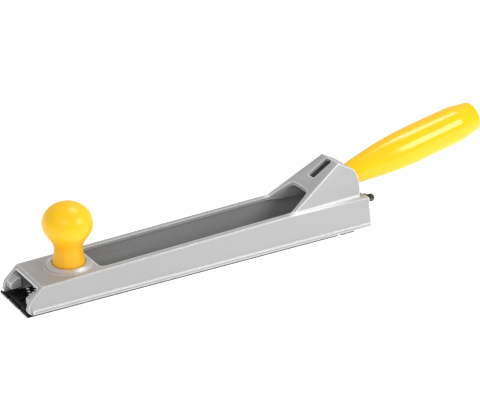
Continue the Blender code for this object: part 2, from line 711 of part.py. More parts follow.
def build_clamp():
    """The sliding clamp: a hook plate on the blade, a block with the nut, and a wide foot."""
    clamp_slide = bpy.data.objects.new("clamp_slide", None)
    bpy.context.scene.collection.objects.link(clamp_slide)
    clamp_slide.location = (TAIL - CLAMP_BLOCK_SETBACK, 0, TENSION_HEIGHT)
    back = Matrix.Translation(-clamp_slide.location)

    def local(mesh):
        mesh.transform(back)
        return mesh

    block_rear = TAIL - CLAMP_BLOCK_SETBACK
    block_front = block_rear - CLAMP_BLOCK_LENGTH
    _, window_rear = rear_window()
    hook_rear = window_rear - GAP
    hook_front = hook_rear - HOOK_THICKNESS
    half_block = CLAMP_BLOCK_WIDTH / 2
    half_hook = REAR_WINDOW_WIDTH / 2 - 2 * GAP
    block_high = TENSION_HEIGHT + CLAMP_BLOCK_RISE
    block = box((block_front, -half_block, FOOT), (block_rear, half_block, block_high))
    clamp = finish("blade_clamp", local(block), DARK_STEEL, 0.45, 0.9, parent=clamp_slide)
    half_plate = HALF_CHANNEL - SLIDE_GAP
    plate_low = (hook_front, -half_hook, FOOT)
    plate_high = (block_front + OVER, half_hook, FOOT + CLAMP_PLATE_THICKNESS)
    join(clamp, local(box(plate_low, plate_high)), "hook_plate")
    hook_high = (hook_rear, half_hook, FOOT + CLAMP_PLATE_THICKNESS / 2)
    join(clamp, local(box((hook_front, -half_hook, GAP), hook_high)), "hook")
    wing_high = (block_rear - GAP, half_plate, FOOT + CLAMP_WING_THICKNESS)
    join(clamp, local(box((block_front + GAP, -half_plate, FOOT + GAP), wing_high)), "wings")
    foot_front = BLADE_REAR + CLAMP_TRAVEL + GAP
    foot_low = (foot_front, -BLADE_WIDTH / 2, 0)
    foot_high = (foot_front + CLAMP_FOOT_LENGTH, BLADE_WIDTH / 2, BLADE_THICKNESS)
    join(clamp, local(box(foot_low, foot_high)), "foot")
    neck_low = (foot_front + GAP, -half_block + GAP, GAP)
    neck_high = (block_rear - GAP, half_block - GAP, FOOT + OVER)
    join(clamp, local(box(neck_low, neck_high)), "neck")

    nut_front = block_front + (CLAMP_BLOCK_LENGTH - NUT_THICKNESS) / 2
    pocket_half = NUT_WIDTH / 2 + GAP
    pocket_low = (nut_front - GAP, -pocket_half, TENSION_HEIGHT - pocket_half)
    pocket_high = (nut_front + NUT_THICKNESS + GAP, pocket_half, block_high + OVER)
    cut(clamp, local(box(pocket_low, pocket_high)), "nut_pocket")
    hole_place = along_x(block_front - OVER, 0, TENSION_HEIGHT)
    hole = rod(TENSION_RADIUS + SCREW_GAP, 0, CLAMP_BLOCK_LENGTH + 2 * OVER, hole_place)
    cut(clamp, local(hole), "screw_hole")

    half_nut = NUT_WIDTH / 2
    nut_low = (nut_front, -half_nut, TENSION_HEIGHT - half_nut)
    nut_box = box(nut_low, (nut_front + NUT_THICKNESS, half_nut, TENSION_HEIGHT + half_nut))
    nut = finish("clamp_nut", local(nut_box), STEEL, 0.35, 1.0, parent=clamp_slide)
    nut_place = along_x(nut_front - OVER, 0, TENSION_HEIGHT)
    nut_hole = rod(TENSION_RADIUS + SCREW_GAP, 0, NUT_THICKNESS + 2 * OVER, nut_place)
    cut(nut, local(nut_hole), "thread")


def build_tension_screw():
    axis = bpy.data.objects.new("tension_axis", None)
    bpy.context.scene.collection.objects.link(axis)
    axis.location = (tail_boss_outer(), 0, TENSION_HEIGHT)
    axis.rotation_euler = (0, math.pi / 2, 0)

    clip_at = -TAIL_BOSS_LENGTH - GAP - CLIP_THICKNESS
    neck_start = TAIL_WASHER_THICKNESS + 2 * GAP
    neck_end = neck_start + THUMB_NECK_LENGTH
    thumb_start = neck_end + THUMB_COLLAR_LENGTH
    thumb_end = thumb_start + THUMB_LENGTH
    block_front = TAIL - CLAMP_BLOCK_SETBACK - CLAMP_BLOCK_LENGTH
    tip = block_front - CLAMP_TRAVEL - OVER - tail_boss_outer()
    groove = TENSION_RADIUS - TENSION_GROOVE
    rod_top = thumb_end - THUMB_SLOT_DEPTH - 4 * GAP
    shape = [
        (groove, tip),
        (TENSION_RADIUS, tip + TENSION_GROOVE),
        (TENSION_RADIUS, clip_at - GAP),
        (groove, clip_at - GAP),
        (groove, clip_at + CLIP_THICKNESS + GAP / 2),
        (TENSION_RADIUS, clip_at + CLIP_THICKNESS + GAP / 2),
        (TENSION_RADIUS, neck_end - GAP),
        (THREAD_CORE, neck_end - GAP),
        (THREAD_CORE, rod_top),
    ]
    finish("tension_rod", turned(shape), STEEL, 0.35, 1.0, parent=axis)
    bore = THREAD_CORE + GAP
    head = [
        (TENSION_RADIUS + GAP, neck_start),
        (THUMB_NECK_RADIUS, neck_start),
        (THUMB_NECK_RADIUS, neck_end),
        (THUMB_COLLAR_RADIUS, neck_end),
        (THUMB_COLLAR_RADIUS, thumb_start),
        (THUMB_RADIUS, thumb_start),
        (THUMB_RADIUS, thumb_end - THUMB_CHAMFER),
        (THUMB_RADIUS - THUMB_CHAMFER, thumb_end),
        (0, thumb_end),
        (0, rod_top + GAP),
        (bore, rod_top + GAP),
        (bore, neck_end),
        (TENSION_RADIUS + GAP, neck_end),
        (TENSION_RADIUS + GAP, neck_start),
    ]
    thumb = finish("knurled_thumb_screw", turned(head), DARK_STEEL, 0.5, 0.8, parent=axis)
    half = THUMB_SLOT_WIDTH / 2
    slot_low = (-THUMB_RADIUS - OVER, -half, thumb_end - THUMB_SLOT_DEPTH)
    cut(thumb, box(slot_low, (THUMB_RADIUS + OVER, half, thumb_end + OVER)), "driver_slot")
    washer = ring(TENSION_RADIUS + SCREW_GAP, TAIL_WASHER_RADIUS, GAP, GAP + TAIL_WASHER_THICKNESS)
    finish("tension_washer", washer, STEEL, 0.3, 1.0, parent=axis)
    clip = ring(groove + GAP, CLIP_RADIUS, clip_at, clip_at + CLIP_THICKNESS - GAP / 2)
    clip_piece = finish("retaining_clip", clip, DARK_STEEL, 0.3, 1.0, parent=axis)
    half = CLIP_MOUTH / 2
    mouth = box((0, -half, clip_at - OVER), (CLIP_RADIUS + OVER, half, clip_at + CLIP_THICKNESS + OVER))
    cut(clip_piece, mouth, "mouth")


# ---------------------------------------------------------------- front knob


def lock_washer(name, low, screw_radius, outer, parent=None, place=Matrix()):
    """A split washer."""
    mesh = ring(screw_radius + SCREW_GAP, outer, low, low + LOCK_WASHER_THICKNESS, place)
    piece = finish(name, mesh, STEEL, 0.3, 1.0, parent=parent)
    half = LOCK_WASHER_CUT / 2
    split = box((0, -half, low - OVER), (outer + OVER, half, low + LOCK_WASHER_THICKNESS + OVER))
    split.transform(place)
    cut(piece, split, "split")


def headed_screw(head, head_top, radius, tip):
    """Lathe profile of a screw whose head hangs below a height and whose shank rises to the tip."""
    head_radius, head_height = head
    low = head_top - head_height
    return [
        (head_radius * HEAD_FACE, low),
        (head_radius, low + head_height * HEAD_DOME),
        (head_radius, head_top),
        (radius, head_top),
        (radius, tip),
    ]


def knob_profile():
    """From the ball's top down to the base, as (radius, height) above the base."""
    ball = arc((0, KNOB_BALL_RISE / KNOB_BALL_HALF_HEIGHT), 1, 90, KNOB_BALL_LOWEST, 16)
    points = [(x * KNOB_BALL_RADIUS, z * KNOB_BALL_HALF_HEIGHT) for x, z in ball]
    radius, height = points[-1]
    slope = math.tan(math.radians(-KNOB_BALL_LOWEST)) * KNOB_BALL_RADIUS / KNOB_BALL_HALF_HEIGHT
    neck = (KNOB_NECK_RISE, KNOB_NECK_RADIUS, 0.0)
    points += ease((height, radius, slope), neck, 8)
    points += ease(neck, (EDGE_ROUND, KNOB_BASE_RADIUS, KNOB_BASE_SLOPE), 6)
    points.append((KNOB_BASE_RADIUS - EDGE_ROUND, 0.0))
    return points


def build_knob():
    base = cup_floor() + GAP
    bore = KNOB_INSERT_RADIUS + GAP
    bore_top = GAP + KNOB_INSERT_LENGTH + GAP
    profile = [*knob_profile(), (bore, 0.0), (bore, bore_top), (0.0, bore_top)]
    place = upright(KNOB_X, 0, base)
    finish("front_knob", turned(profile[::-1], place, FINE), YELLOW, 0.15, parent=None)
    inner = KNOB_SCREW_RADIUS + SCREW_GAP
    insert = ring(inner, KNOB_INSERT_RADIUS, GAP, GAP + KNOB_INSERT_LENGTH, place)
    finish("knob_insert", insert, BRASS, 0.35, 1.0)

    washer_top = knob_pad_low() - GAP
    washer_low = washer_top - WASHER_THICKNESS
    lock_low = washer_low - GAP - LOCK_WASHER_THICKNESS
    head_top = lock_low - GAP
    on_axis = upright(KNOB_X, 0)
    washer = ring(inner, KNOB_WASHER_RADIUS, washer_low, washer_top, on_axis)
    finish("knob_washer", washer, STEEL, 0.3, 1.0)
    lock_washer("knob_lock_washer", lock_low, KNOB_SCREW_RADIUS, KNOB_HEAD_RADIUS, None, on_axis)
    head = (KNOB_HEAD_RADIUS, KNOB_HEAD_HEIGHT)
    screw = headed_screw(head, head_top, KNOB_SCREW_RADIUS, base + KNOB_SCREW_REACH)
    piece = finish("knob_screw", turned(screw, on_axis), STEEL, 0.3, 1.0)
    driver_slot(piece, upright(KNOB_X, 0, head_top - KNOB_HEAD_HEIGHT), KNOB_HEAD_RADIUS)


def driver_slot(piece, place, radius):
    """A straight slot in a screw's head, whose outer face is at the place's origin."""
    half = THUMB_SLOT_WIDTH / 2
    slot = box((-radius - OVER, -half, -OVER), (radius + OVER, half, THUMB_SLOT_DEPTH))
    slot.transform(place)
    cut(piece, slot, "driver_slot")


# ---------------------------------------------------------------- handle


def handle_profile():
    """(radius, distance along the axis from the pivot), from the seat to the end."""
    seat = SEAT_RADIUS + GAP
    end = seat + HANDLE_LENGTH
    inside = HANDLE_SEAT_RADIUS / 2
    start = (seat, HANDLE_SEAT_RADIUS, HANDLE_SEAT_SLOPE)
    full = (seat + HANDLE_SWELL, HANDLE_RADIUS, 0.0)
    barrel = HANDLE_RADIUS - HANDLE_BARREL_LOSS
    barrel_slope = -3 * HANDLE_BARREL_LOSS / (HANDLE_LENGTH - HANDLE_SWELL - HANDLE_END_TAPER)
    cone = (end - HANDLE_END_TAPER, barrel, barrel_slope)
    points = [(HANDLE_SEAT_RADIUS - HANDLE_SEAT_SLOPE * inside, seat - inside), start[1::-1]]
    points += ease(start, full, 10)
    points += ease(full, cone, 4)
    round_middle = (end - HANDLE_END_ROUND, HANDLE_END_RADIUS - HANDLE_END_ROUND)
    for along, radius in arc(round_middle, HANDLE_END_ROUND, 80, 10, 4):
        points.append((radius, along))
    points.append((0.0, end + HANDLE_END_ROUND / 5))
    return points


def build_handle():
    pivot = bpy.data.objects.new("handle_pivot", None)
    bpy.context.scene.collection.objects.link(pivot)
    pivot.location = (PIVOT, 0, PIVOT_HEIGHT)
    pivot.rotation_euler = (0, math.radians(90 - HANDLE_ANGLE), 0)

    seat = SEAT_RADIUS + GAP
    handle = finish("rear_handle", turned(handle_profile(), sides=FINE), YELLOW, 0.15, parent=pivot)
    across = Matrix.Rotation(math.pi / 2, 4, "X")
    width = 2 * HANDLE_RADIUS
    cut(handle, rod(seat, -width, width, across, 96), "saddle")
    insert_start = seat + GAP
    insert_end = insert_start + HANDLE_BOLT_DEPTH + GAP
    bore = HANDLE_INSERT_RADIUS + GAP
    cut(handle, rod(bore, seat - 2 * OVER, insert_end + GAP), "insert_bore")
    inner = HANDLE_BOLT_RADIUS + SCREW_GAP
    insert = ring(inner, HANDLE_INSERT_RADIUS, insert_start, insert_end)
    finish("handle_insert", insert, BRASS, 0.35, 1.0, parent=pivot)

    wall_inner = SEAT_RADIUS - WALL
    saddle_out = wall_inner - GAP
    saddle_in = saddle_out - SADDLE_THICKNESS
    room = math.radians(SEAT_TOP_ANGLE - HANDLE_ANGLE - HANDLE_UP)
    reach = saddle_out * math.sin(room) - GAP
    half = SADDLE_WIDTH / 2
    saddle_box = box((-reach, -half, saddle_in), (reach, half, saddle_out + OVER))
    saddle = finish("saddle_washer", saddle_box, STEEL, 0.4, 1.0, parent=pivot)
    rim = ring(saddle_out, saddle_out + 4 * OVER, -width, width, across, 96)
    cut(saddle, rim, "curve")
    cut(saddle, rod(inner, saddle_in - OVER, saddle_out + OVER), "hole")

    washer_top = saddle_in - GAP
    washer_low = washer_top - WASHER_THICKNESS
    washer = ring(inner, HANDLE_WASHER_RADIUS, washer_low, washer_top)
    finish("handle_washer", washer, STEEL, 0.3, 1.0, parent=pivot)
    lock_low = washer_low - GAP - LOCK_WASHER_THICKNESS
    lock_washer("handle_lock_washer", lock_low, HANDLE_BOLT_RADIUS, HANDLE_HEAD_RADIUS, pivot)
    head_top = lock_low - GAP
    head = (HANDLE_HEAD_RADIUS, HANDLE_HEAD_HEIGHT)
    bolt = headed_screw(head, head_top, HANDLE_BOLT_RADIUS, seat + HANDLE_BOLT_DEPTH)
    piece = finish("handle_bolt", turned(bolt), STEEL, 0.3, 1.0, parent=pivot)
    driver_slot(piece, upright(0, 0, head_top - HANDLE_HEAD_HEIGHT), HANDLE_HEAD_RADIUS)


def main():
    for old in list(bpy.data.objects):
        bpy.data.objects.remove(old, do_unlink=True)
    build_body()
    build_blade()
    build_hook_plate()
    build_clamp()
    build_tension_screw()
    build_knob()
    build_handle()


main()
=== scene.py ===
"""Looks of a rasp plane: painted cast body, perforated steel blade, moulded knob and handle.

Every piece is built in the frame's own coordinates: metres, +Z up, nose at -X, and the
origin in the middle of the blade's underside.
"""

import json
import math

import bmesh
import bpy
from mathutils import Matrix, Vector


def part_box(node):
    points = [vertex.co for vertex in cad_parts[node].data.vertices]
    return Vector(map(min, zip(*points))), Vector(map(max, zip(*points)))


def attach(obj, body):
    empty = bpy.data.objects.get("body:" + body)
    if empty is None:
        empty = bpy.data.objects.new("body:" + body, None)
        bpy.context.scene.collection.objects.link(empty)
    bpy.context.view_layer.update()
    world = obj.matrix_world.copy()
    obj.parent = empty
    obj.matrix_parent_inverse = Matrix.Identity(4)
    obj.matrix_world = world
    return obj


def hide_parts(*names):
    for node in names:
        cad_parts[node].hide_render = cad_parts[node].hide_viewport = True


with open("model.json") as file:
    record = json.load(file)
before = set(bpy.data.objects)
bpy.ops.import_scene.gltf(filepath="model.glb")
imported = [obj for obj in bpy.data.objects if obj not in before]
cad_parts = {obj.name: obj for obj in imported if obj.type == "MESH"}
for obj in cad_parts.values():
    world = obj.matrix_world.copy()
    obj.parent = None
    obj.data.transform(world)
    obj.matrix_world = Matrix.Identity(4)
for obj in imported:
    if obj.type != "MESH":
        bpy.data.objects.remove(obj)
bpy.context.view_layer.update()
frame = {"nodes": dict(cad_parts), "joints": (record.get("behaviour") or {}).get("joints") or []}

JOINTS = {joint["name"]: joint for joint in frame["joints"]}
GAP = 0.0003                    # between neighbouring pieces, as in the frame

# ---------------------------------------------------------------- sizes

# Blade
SHEET = 0.00045                 # thickness of its sheet; the teeth reach this far below it
HEM = 0.0007                    # its long edges, folded down
LIP = 0.0010                    # front edge, turned up
TOOTH_PITCH = 0.0052            # along the blade
ROW_PITCH = 0.0042              # across it
ROW_SLANT = 0.25                # how far a row leans along the blade, per unit across
TEETH_ALONG = 44
TEETH_ACROSS = 9
HOLE_LENGTH = 0.0026
HOLE_WIDTH = 0.0024
HOOK_SPACING = 0.018
HOOK_SETBACK = 0.0030
FRONT_WINDOW = (0.0021, 0.0046)
REAR_WINDOW = (0.0051, 0.020)
TEETH_OVER = 0.002              # how far the cutting shapes reach past the sheet
REAR_SETBACK = 0.0035
NOTCH = (0.0020, 0.0026)        # length along the blade, width

# Knob
KNOB_BALL_RADIUS = 0.0178
KNOB_BALL_HALF_HEIGHT = 0.0151
KNOB_BALL_RISE = 0.0304
KNOB_BALL_LOWEST = -33
KNOB_NECK = (0.0115, 0.0101)    # rise above the base, radius
KNOB_BASE = (0.0008, 0.0115)
KNOB_BASE_SLOPE = -0.146
KNOB_BORE = (0.0048, 0.0186)    # radius, depth

# Handle, measured along its axis from the pivot of the round seat
HANDLE_ANGLE = 11.6
SEAT_RADIUS = 0.0236
HANDLE_LENGTH = 0.117
HANDLE_SEAT = (0.0085, 0.17)    # radius and its growth along the handle
HANDLE_RADIUS = 0.0144
HANDLE_SWELL = 0.060
BARREL_LOSS = 0.0002
END_TAPER = 0.0167
END_RADIUS = 0.0119
END_ROUND = 0.0028
HANDLE_BORE = (0.0049, 0.0249)
BOLT_REACH = 0.024

# Casting
BOSS_X = -0.0835                # of the round boss under the knob
BOSS_RIM = (0.0172, 0.0178)     # its bare metal ends between these radii
BOSS_LOW = 0.0212
# Where the painted highlight on the step beside the pedestal lies.
LEDGE_START = (0.084, 0.089)    # the step beside the pedestal
LEDGE_LOW = (0.0246, 0.0252)
LEDGE_HIGH = (0.0262, 0.0274)
# Inside the channel and below the deck, where painted shade is laid.
HOLLOW_HALF_WIDTH = (0.0150, 0.0164)
DECK_UNDERSIDE = (0.0160, 0.0200)
CAST_EDGE = 0.00035             # rounding of the casting's edges
WALL = 0.0033

# Screws
BOLT_RADIUS = 0.003
KNOB_SCREW_HEAD_HEIGHT = 0.0038
HANDLE_BOLT_HEAD = (0.005, 0.0042)          # radius, height
HANDLE_WASHERS = (0.0030, 0.0014, 0.0015)   # saddle, flat and split, between wall and head
HOOK_SCREW_RADIUS = 0.0012
HOOK_SCREW_CORE = 0.0009
HOOK_SCREW_THREAD = (0.0005, 0.0002)
HOOK_SCREW_SLOT = 0.0003
BOLT_THREAD = (0.001, 0.0004)   # pitch, depth
TENSION_RADIUS = 0.0025
TENSION_THREAD = (0.0008, 0.00036)
SLOT_WIDTH = 0.0013
SLOT_DEPTH = 0.0016
THUMB_NECK = (0.0016, 0.0074, 0.0034)       # start, end, radius
THUMB_COLLAR = (0.0087, 0.0043)             # end, radius
THUMB_END = (0.0154, 0.0030)
CLIP_GROOVE = (-0.0079, -0.00655)           # start, end
ROD_TIP_RADIUS = 0.0017                     # of the part inside the head
RIDGES = 30
RIDGE_DEPTH = 0.0003

ROUND = 48                      # sides of small turned pieces
FINE = 144                      # sides of the knob and the handle


# ---------------------------------------------------------------- finishes


class Value:
    """A node's output, on which + - * add Math nodes."""

    def __init__(self, finish, socket):
        self.finish, self.socket = finish, socket

    def __add__(self, other):
        return self.finish.math("ADD", self, other)

    def __sub__(self, other):
        return self.finish.math("SUBTRACT", self, other)

    def __rsub__(self, other):
        return self.finish.math("SUBTRACT", other, self)

    def __mul__(self, other):
        return self.finish.math("MULTIPLY", self, other)

    __radd__, __rmul__ = __add__, __mul__

    def between(self, low, high):
        """0 below low, 1 above high, smooth between them."""
        ends = {"From Min": low, "From Max": high, "Value": self}
        return self.finish.node("ShaderNodeMapRange", {"interpolation_type": "SMOOTHSTEP"}, ends)


class Finish:
    """A material whose nodes are added in Python."""

    def __init__(self, name, fixed=None):
        self.material = bpy.data.materials.new(name)
        self.material.use_nodes = True
        self.tree = self.material.node_tree
        self.shader = self.tree.nodes["Principled BSDF"]
        self.fill(self.shader, fixed or {})
        self.where = self.node("ShaderNodeTexCoord", output="Object")

    def node(self, kind, settings=None, values=None, output=0):
        made = self.tree.nodes.new(kind)
        for name, value in (settings or {}).items():
            setattr(made, name, value)
        self.fill(made, values or {})
        if isinstance(output, str):
            output = next(i for i, s in enumerate(made.outputs) if output in (s.identifier, s.name))
        return Value(self, made.outputs[output])

    def fill(self, node, values):
        """Sets or links a node's sockets, by identifier, name or place."""
        for key, value in values.items():
            if isinstance(key, int):
                socket = node.inputs[key]
            else:
                socket = next(s for s in node.inputs if key in (s.identifier, s.name))
            if isinstance(value, Value):
                self.tree.links.new(value.socket, socket)
            else:
                socket.default_value = value

    def math(self, operation, *values):
        return self.node("ShaderNodeMath", {"operation": operation}, dict(enumerate(values)))

    def mix(self, share, first, second):
        """A colour between two others."""
        values = {"Factor_Float": share, "A_Color": first, "B_Color": second}
        return self.node("ShaderNodeMix", {"data_type": "RGBA"}, values, "Result_Color")

    def stretched(self, scale, turn=(0, 0, 0), move=(0, 0, 0)):
        """The object's coordinates, moved, turned and scaled."""
        values = {"Vector": self.where, "Location": move, "Rotation": turn, "Scale": scale}
        return self.node("ShaderNodeMapping", {"vector_type": "POINT"}, values)

    def noise(self, scale, detail=2.0, rough=0.5, at=None):
        values = {"Vector": at or self.where, "Scale": scale, "Detail": detail, "Roughness": rough}
        return self.node("ShaderNodeTexNoise", None, values, "Fac")

    def axis(self, name, at=None):
        return self.node("ShaderNodeSeparateXYZ", None, {0: at or self.where}, name)

    def edges(self, radius):
        """0 on flat areas, rising to 1 on edges of about this radius."""
        rounded = self.node("ShaderNodeBevel", {"samples": 6}, {"Radius": radius})
        true = self.node("ShaderNodeNewGeometry", output="Normal")
        settings = {"operation": "DOT_PRODUCT"}
        along = self.node("ShaderNodeVectorMath", settings, {0: rounded, 1: true}, "Value")
        return (1 - along).between(0.003, 0.045)

    def bump(self, height, depth, strength=1.0):
        values = {"Height": height, "Distance": depth, "Strength": strength}
        self.fill(self.shader, {"Normal": self.node("ShaderNodeBump", None, values)})

    def set(self, **values):
        self.fill(self.shader, {name.replace("_", " ").title(): v for name, v in values.items()})


def grey(level, tint=0.0):
    return (level * (1 - tint), level, level * (1 + tint), 1)


def silver_paint():
    """Silver-grey stoving paint on a die casting, with a painted highlight along its edges and on the
    step beside the pedestal, painted shade in the channel under the deck, and bare metal on the knob's
    boss.
    """
    paint = Finish("silver_cast_paint", {"Specular IOR Level": 0.35})
    cloud = paint.noise(24, 3)
    grain = paint.noise(2600, 2)
    peel = paint.noise(900, 2)
    specks = paint.noise(700, 1).between(0.70, 0.78)
    x, y, z = (paint.axis(name) for name in "XYZ")

    # Painted shade: inside the channel, below the deck, the paint is darkened towards black, most just
    # behind the nose and less towards the rear.
    inside = 1 - paint.math("ABSOLUTE", y).between(*HOLLOW_HALF_WIDTH)
    under = inside * (1 - (z - 0.05 * x).between(*DECK_UNDERSIDE))
    shade_fade = 0.9 - 0.5 * x.between(-0.098, -0.070) - 0.15 * x.between(-0.070, 0.110)
    painted_shade_under_deck = under * x.between(-0.1145, -0.1110) * shade_fade

    # Painted highlight: edges, broken up by noise, and the step beside the pedestal are lightened
    # towards pale grey and made less rough.
    edge_wear_and_highlight = paint.edges(0.0014) * paint.noise(160, 4, 0.6).between(0.15, 0.45)
    painted_ledge_highlight = x.between(*LEDGE_START) * z.between(*LEDGE_LOW) * (1 - z.between(*LEDGE_HIGH))
    edge_wear_and_highlight = paint.math("MAXIMUM", edge_wear_and_highlight, painted_ledge_highlight * (1 - inside) * 0.75)

    away = paint.math("SQRT", (x - BOSS_X) * (x - BOSS_X) + y * y)
    bare = (1 - away.between(*BOSS_RIM)) * z.between(BOSS_LOW, BOSS_LOW + 0.0003)
    circles = paint.node("ShaderNodeCombineXYZ", None, {"X": away * 3000})
    lathe = paint.noise(1, 2, 0.5, circles)

    tone = paint.mix(cloud, grey(0.365, 0.004), grey(0.405, 0.006))
    tone = paint.mix(grain * 0.25, tone, grey(0.50))
    tone = paint.mix(specks * 0.25, tone, grey(0.22))
    # The painted highlight along the edges and on the step.
    tone = paint.mix(edge_wear_and_highlight * 0.9, tone, grey(0.90))
    tone = paint.mix(bare, tone, grey(0.62))
    # The base colour goes towards black where the painted shade under the deck lies.
    paint.set(base_color=paint.mix(painted_shade_under_deck, tone, grey(0.012)))
    rough = 0.46 + 0.10 * cloud - 0.16 * edge_wear_and_highlight
    paint.set(roughness=rough - bare * (0.20 - 0.12 * lathe))
    paint.set(metallic=0.20 + 0.10 * edge_wear_and_highlight + 0.65 * bare)
    paint.bump(peel * 0.6 + grain * 0.4 + lathe * bare * 0.5, 0.00002, 0.6)
    return paint.material


def yellow_plastic():
    """Moulded plastic with its mould line: glossy on the handle, worn matt on the knob, with painted
    shade on the knob's lower part.
    """
    plastic = Finish("yellow_moulded_plastic", {"IOR": 1.48, "Specular IOR Level": 0.40})
    cloud = plastic.noise(30, 2)
    peel = plastic.noise(420, 1)
    scratches = plastic.noise(900, 2, 0.6, plastic.stretched((0.08, 1, 1), (0.4, 0.3, 0.2)))
    marks = scratches.between(0.62, 0.72)
    line = 1 - plastic.math("ABSOLUTE", plastic.axis("Y")).between(0.00006, 0.00018)
    tone = plastic.mix(cloud, (0.92, 0.520, 0.0010, 1), (0.94, 0.550, 0.0015, 1))
    knob = 1 - plastic.axis("X").between(-0.05, 0.1)
    # Painted shade: below its ball, the knob is given a darker, more orange tone.
    neck = 1 - plastic.axis("Z").between(0.034, 0.050)
    tone = plastic.mix(neck * knob, tone, (0.92, 0.45, 0.001, 1))
    plastic.set(base_color=plastic.mix(line * 0.25, tone, (0.80, 0.38, 0.01, 1)))
    plastic.set(roughness=0.13 + 0.06 * cloud + 0.10 * marks + 0.17 * knob)
    plastic.bump(0.5 * peel - 0.2 * marks + 0.6 * line, 0.00003, 0.5)
    return plastic.material


def blade_steel():
    """Blackened spring steel, ground bright where it meets the work."""
    steel = Finish("blackened_blade_steel", {"Specular IOR Level": 0.25})
    streak = steel.noise(260, 3, 0.6, steel.stretched((0.06, 1, 1)))
    cloud = steel.noise(55, 3)
    ground = 1 - steel.axis("Z").between(0.00005, 0.00014)
    worn = ground * streak.between(0.2, 0.5)
    dark = steel.mix(streak, (0.006, 0.006, 0.007, 1), (0.013, 0.014, 0.016, 1))
    steel.set(base_color=steel.mix(worn, dark, (0.42, 0.42, 0.44, 1)))
    steel.set(roughness=0.42 + 0.16 * cloud - 0.12 * worn, metallic=0.30 + 0.6 * worn)
    steel.bump(streak, 0.00001, 0.5)
    return steel.material


def dark_steel():
    """Black-oxide steel, brighter along its edges."""
    steel = Finish("black_oxide_steel")
    cloud = steel.noise(220, 4, 0.6)
    edge_wear_and_highlight = steel.edges(0.0003) * cloud.between(0.3, 0.7)
    tone = steel.mix(cloud, (0.020, 0.020, 0.022, 1), (0.040, 0.041, 0.044, 1))
    steel.set(base_color=steel.mix(edge_wear_and_highlight * 0.7, tone, (0.32, 0.32, 0.33, 1)))
    steel.set(roughness=0.46 - 0.12 * edge_wear_and_highlight + 0.08 * cloud, metallic=0.85 + 0.1 * edge_wear_and_highlight)
    steel.bump(steel.noise(3200, 2), 0.00001, 0.5)
    return steel.material


def zinc_steel():
    """Zinc-plated steel with its uneven passivation."""
    steel = Finish("zinc_plated_steel")
    cloud = steel.noise(130, 3, 0.6)
    grain = steel.noise(4200, 2)
    edge_wear_and_highlight = steel.edges(0.0003)
    tone = steel.mix(cloud.between(0.3, 0.7), (0.56, 0.58, 0.62, 1), (0.66, 0.65, 0.60, 1))
    steel.set(base_color=steel.mix(edge_wear_and_highlight * 0.4, tone, (0.80, 0.80, 0.80, 1)))
    steel.set(roughness=0.24 + 0.16 * cloud + 0.06 * grain, metallic=0.96 - 0.06 * grain)
    steel.bump(grain, 0.00001, 0.4)
    return steel.material


def brass():
    metal = Finish("turned_brass")
    cloud = metal.noise(180, 3)
    rings = metal.noise(2600, 1, 0.5, metal.stretched((0.05, 0.05, 1)))
    tone = metal.mix(cloud, (0.66, 0.45, 0.17, 1), (0.78, 0.56, 0.25, 1))
    metal.set(base_color=tone, roughness=0.26 + 0.14 * rings, metallic=1.0 - 0.05 * cloud)
    metal.bump(rings, 0.00001, 0.5)
    return metal.material


PAINT, PLASTIC, BLADE_STEEL = silver_paint(), yellow_plastic(), blade_steel()
DARK_STEEL, ZINC_STEEL, BRASS = dark_steel(), zinc_steel(), brass()

# ---------------------------------------------------------------- making meshes


def new_piece(name, mesh):
    piece = bpy.data.objects.new(name, mesh)
    bpy.context.scene.collection.objects.link(piece)
    return piece


def to_mesh(name, shape, closed=True):
    if closed:
        bmesh.ops.recalc_face_normals(shape, faces=shape.faces)
    mesh = bpy.data.meshes.new(name)
    shape.to_mesh(mesh)
    shape.free()
    return mesh


def made_plain(piece):
    """Turns a piece with modifiers into its finished mesh, and drops the piece."""
    view = bpy.context.evaluated_depsgraph_get()
    mesh = bpy.data.meshes.new_from_object(piece.evaluated_get(view))
    bpy.data.objects.remove(piece)
    return mesh


def smooth(mesh, degrees=38):
    mesh.shade_smooth()
    mesh.set_sharp_from_angle(angle=math.radians(degrees))
    return mesh


def joined(meshes, weld=1e-6):
    """One mesh of several."""
    shape = bmesh.new()
    for mesh in meshes:
        shape.from_mesh(mesh)
    bmesh.ops.remove_doubles(shape, verts=shape.verts, dist=weld)
    return to_mesh("joined", shape, closed=False)


def box(low, high):
    shape = bmesh.new()
    size = [b - a for a, b in zip(low, high)]
    middle = [(a + b) / 2 for a, b in zip(low, high)]
    bmesh.ops.create_cube(shape, size=1, matrix=Matrix.Translation(middle) @ Matrix.Diagonal((*size, 1)))
    return to_mesh("box", shape)


def prism(outline, low, high):
    """An (x, y) outline pulled up from low to high."""
    shape = bmesh.new()
    bottom = [shape.verts.new((x, y, low)) for x, y in outline]
    top = [shape.verts.new((x, y, high)) for x, y in outline]
    shape.faces.new(bottom)
    shape.faces.new(top[::-1])
    for i in range(len(outline)):
        j = (i + 1) % len(outline)
        shape.faces.new((bottom[i], bottom[j], top[j], top[i]))
    return to_mesh("prism", shape)


def turned(profile, sides=ROUND):
    """A lathe shape about Z from (radius, height) points; the profile starts and ends on the axis
    or on itself."""
    shape = bmesh.new()
    rings = []
    for radius, height in profile:
        if radius < 1e-7:
            rings.append([shape.verts.new((0, 0, height))])
            continue
        around = arc((0, 0), radius, 0, 360, sides)[:-1]
        rings.append([shape.verts.new((x, y, height)) for x, y in around])
    for lower, upper in zip(rings, rings[1:]):
        for i in range(sides):
            j = (i + 1) % sides
            below = [lower[i % len(lower)], lower[j % len(lower)]]
            above = [upper[j % len(upper)], upper[i % len(upper)]]
            corners = list(dict.fromkeys(below + above))
            if len(corners) > 2:
                shape.faces.new(corners)
    bmesh.ops.remove_doubles(shape, verts=shape.verts, dist=1e-7)
    return to_mesh("turned", shape)


